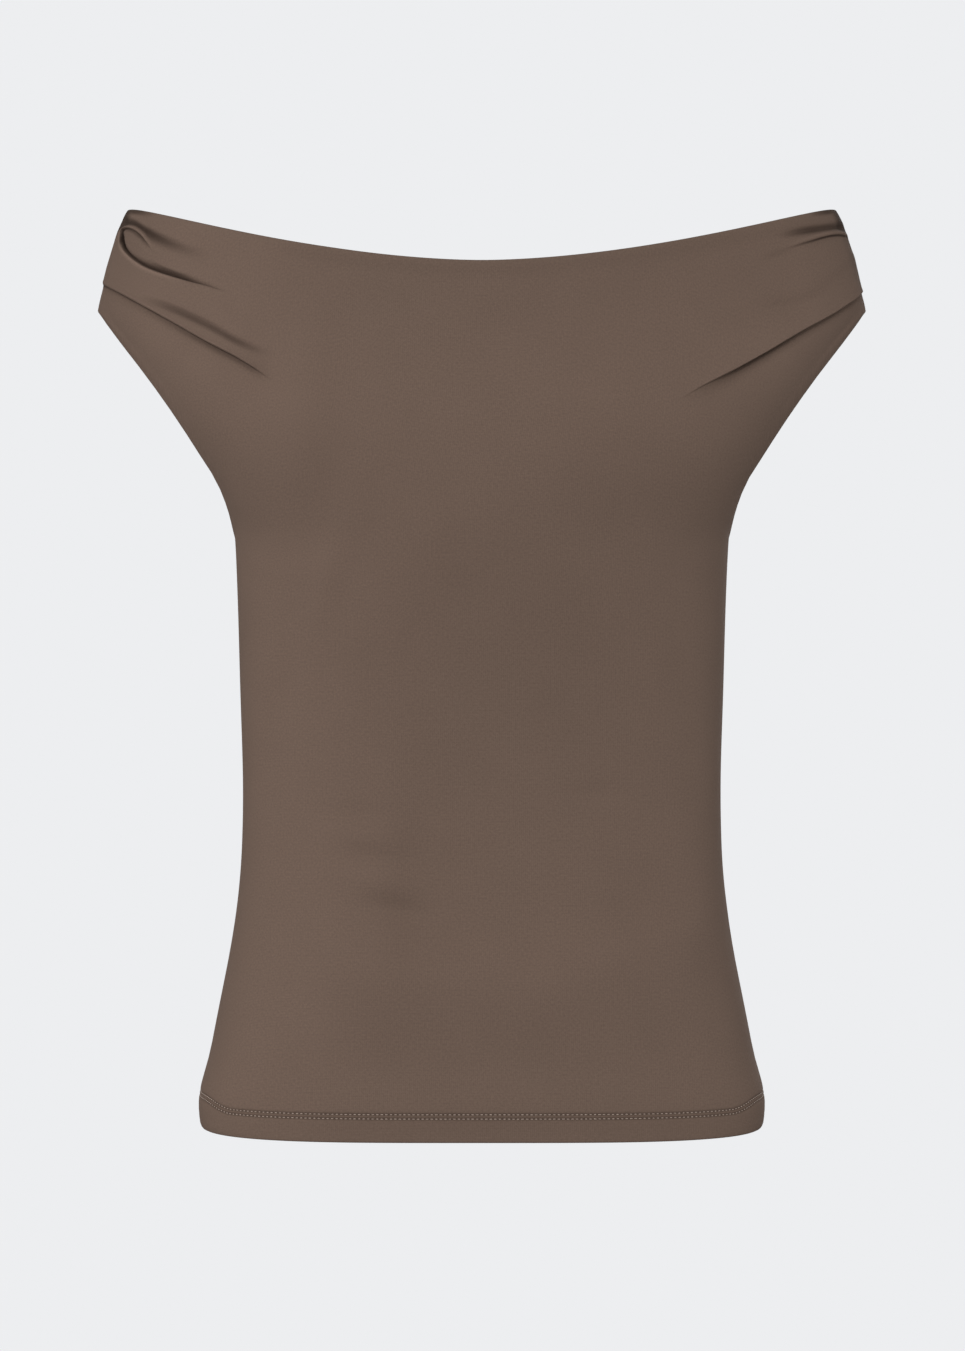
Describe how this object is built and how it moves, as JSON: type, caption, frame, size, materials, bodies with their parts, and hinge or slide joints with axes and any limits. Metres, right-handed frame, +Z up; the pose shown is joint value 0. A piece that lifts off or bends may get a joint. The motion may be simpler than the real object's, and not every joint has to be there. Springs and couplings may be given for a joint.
{
  "type": "off-shoulder top",
  "caption": "Close-fitting off-shoulder top in plain stretch jersey, with pleated shoulder caps, open armholes and a twin-needle hem, filled out as worn.",
  "frame": {"origin": "middle of the top opening, on the plane of the side seams, level with the middle of the back neckline, where the wearer holds the top up", "axes": "+Z up from hem to neckline, the front faces -Y, +X to the viewer's right"},
  "size_m": [0.4462, 0.2209, 0.5283],
  "materials": {
    "jersey": "fine matte stretch jersey in taupe brown"
  },
  "bodies": {
    "root": {"front_panel": "jersey", "back_panel": "jersey"}
  },
  "joints": []
}
